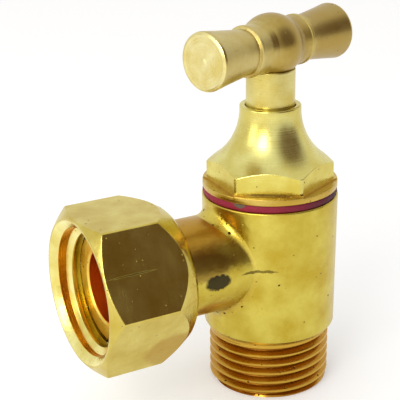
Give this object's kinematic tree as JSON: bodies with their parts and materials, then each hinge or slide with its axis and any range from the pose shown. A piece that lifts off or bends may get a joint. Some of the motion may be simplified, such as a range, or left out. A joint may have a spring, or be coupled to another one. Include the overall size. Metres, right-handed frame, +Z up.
{
  "type": "angle valve",
  "caption": "Brass angle valve with a T handle on a rising spindle, a male threaded inlet below and a side outlet with a captive hexagon union nut, used to shut off and regulate water flow",
  "frame": {"origin": "centre of the inlet end face, on the axis of barrel and spindle", "axes": "+Z up along the spindle, away from the inlet; -X along the outlet branch, out of the union nut; +Y completes the right-handed frame"},
  "size_m": [0.0417, 0.0228, 0.0516],
  "materials": {
    "body_brass": "dull forged and shot-blasted brass with small dark pits",
    "nut_brass": "milled flats and turned chamfers, lightly scratched",
    "bonnet_brass": "fine turned brass, bright",
    "gasket_fibre": "dark red pressed fibre, matte",
    "spindle_brass": "smooth turned brass with light speckles",
    "handle_brass": "turned brass with fine rings and small stains",
    "jumper_brass": "turned brass",
    "ring_rubber": "black nitrile rubber",
    "washer_rubber": "black rubber, matte",
    "clamp_steel": "plain steel",
    "spring_steel": "spring steel"
  },
  "bodies": {
    "valve_body": {"body": "body_brass", "bonnet": "bonnet_brass", "bonnet_gasket": "gasket_fibre"},
    "captive_nut": {"union_nut": "nut_brass"},
    "closing_member": {"jumper": "jumper_brass", "seat_washer": "washer_rubber", "clamp_washer": "clamp_steel", "clamp_nut": "clamp_steel", "snap_ring": "spring_steel"},
    "handle_and_spindle": {"spindle": "spindle_brass", "t_handle": "handle_brass", "o_ring_lower": "ring_rubber", "o_ring_upper": "ring_rubber"}
  },
  "joints": [
    {"name": "nut_spin", "type": "hinge", "parent": "valve_body", "child": "captive_nut", "pos_m": [-0.0223, 0, 0.019], "axis": [-1, 0, 0], "continuous": true},
    {"name": "valve_lift", "type": "slide", "parent": "valve_body", "child": "closing_member", "axis": [0, 0, 1], "range_m": [-0.0033, 0]},
    {"name": "handle_turn", "type": "hinge", "parent": "closing_member", "child": "handle_and_spindle", "pos_m": [0, 0, 0.021], "axis": [0, 0, 1], "range_deg": [-792.5, 0]}
  ],
  "couplings": [
    {"joint": "handle_turn", "follows": "valve_lift", "rad_per_m": 4188.8}
  ]
}
